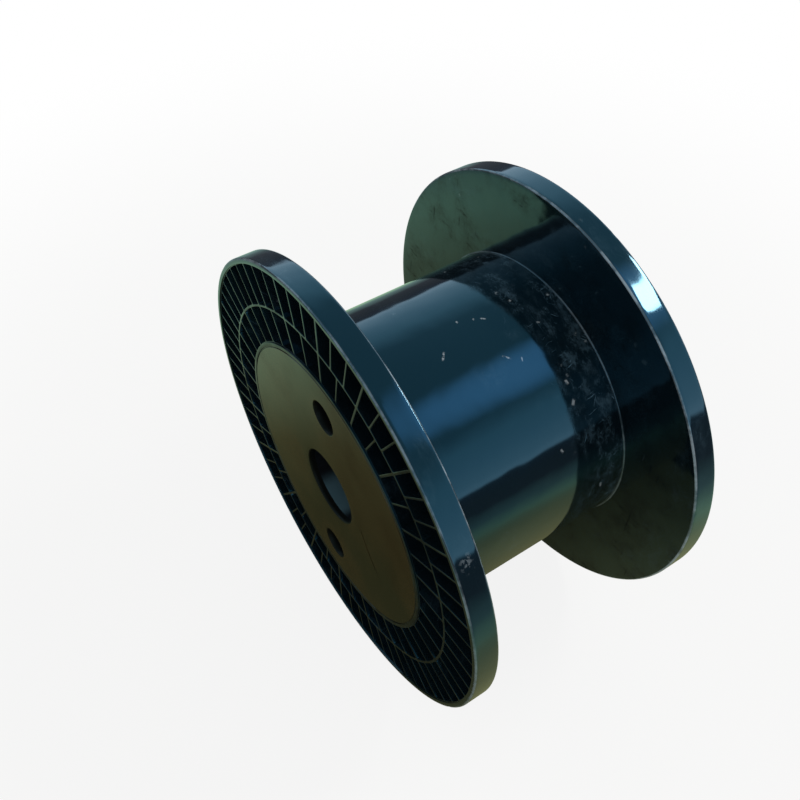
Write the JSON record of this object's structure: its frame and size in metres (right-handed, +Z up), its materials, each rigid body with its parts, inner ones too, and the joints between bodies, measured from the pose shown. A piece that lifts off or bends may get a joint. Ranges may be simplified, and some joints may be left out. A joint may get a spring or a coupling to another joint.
{
  "type": "plastic wire spool",
  "caption": "Black plastic wire spool: rib-backed flanges on a smooth barrel, with a central shaft bore and drive-pin holes, for winding and paying out wire.",
  "frame": {"origin": "on the shaft bore's axis, halfway between the outer faces of the flanges", "axes": "+Y along the shaft bore, from the front flange to the back flange; +Z up with the spool lying on its flange rims; a drive hole stands straight above and below the bore"},
  "size_m": [0.355, 0.2, 0.355],
  "materials": {
    "flange_plastic": "moulded black plastic, satin to gloss, scuffed",
    "barrel_plastic": "glossy black plastic tube with fine wire scuffs",
    "shaft_tube_plastic": "glossy black plastic tube"
  },
  "bodies": {
    "root": {"front_flange": "flange_plastic", "back_flange": "flange_plastic", "barrel_tube": "barrel_plastic", "shaft_tube": "shaft_tube_plastic"}
  },
  "joints": []
}
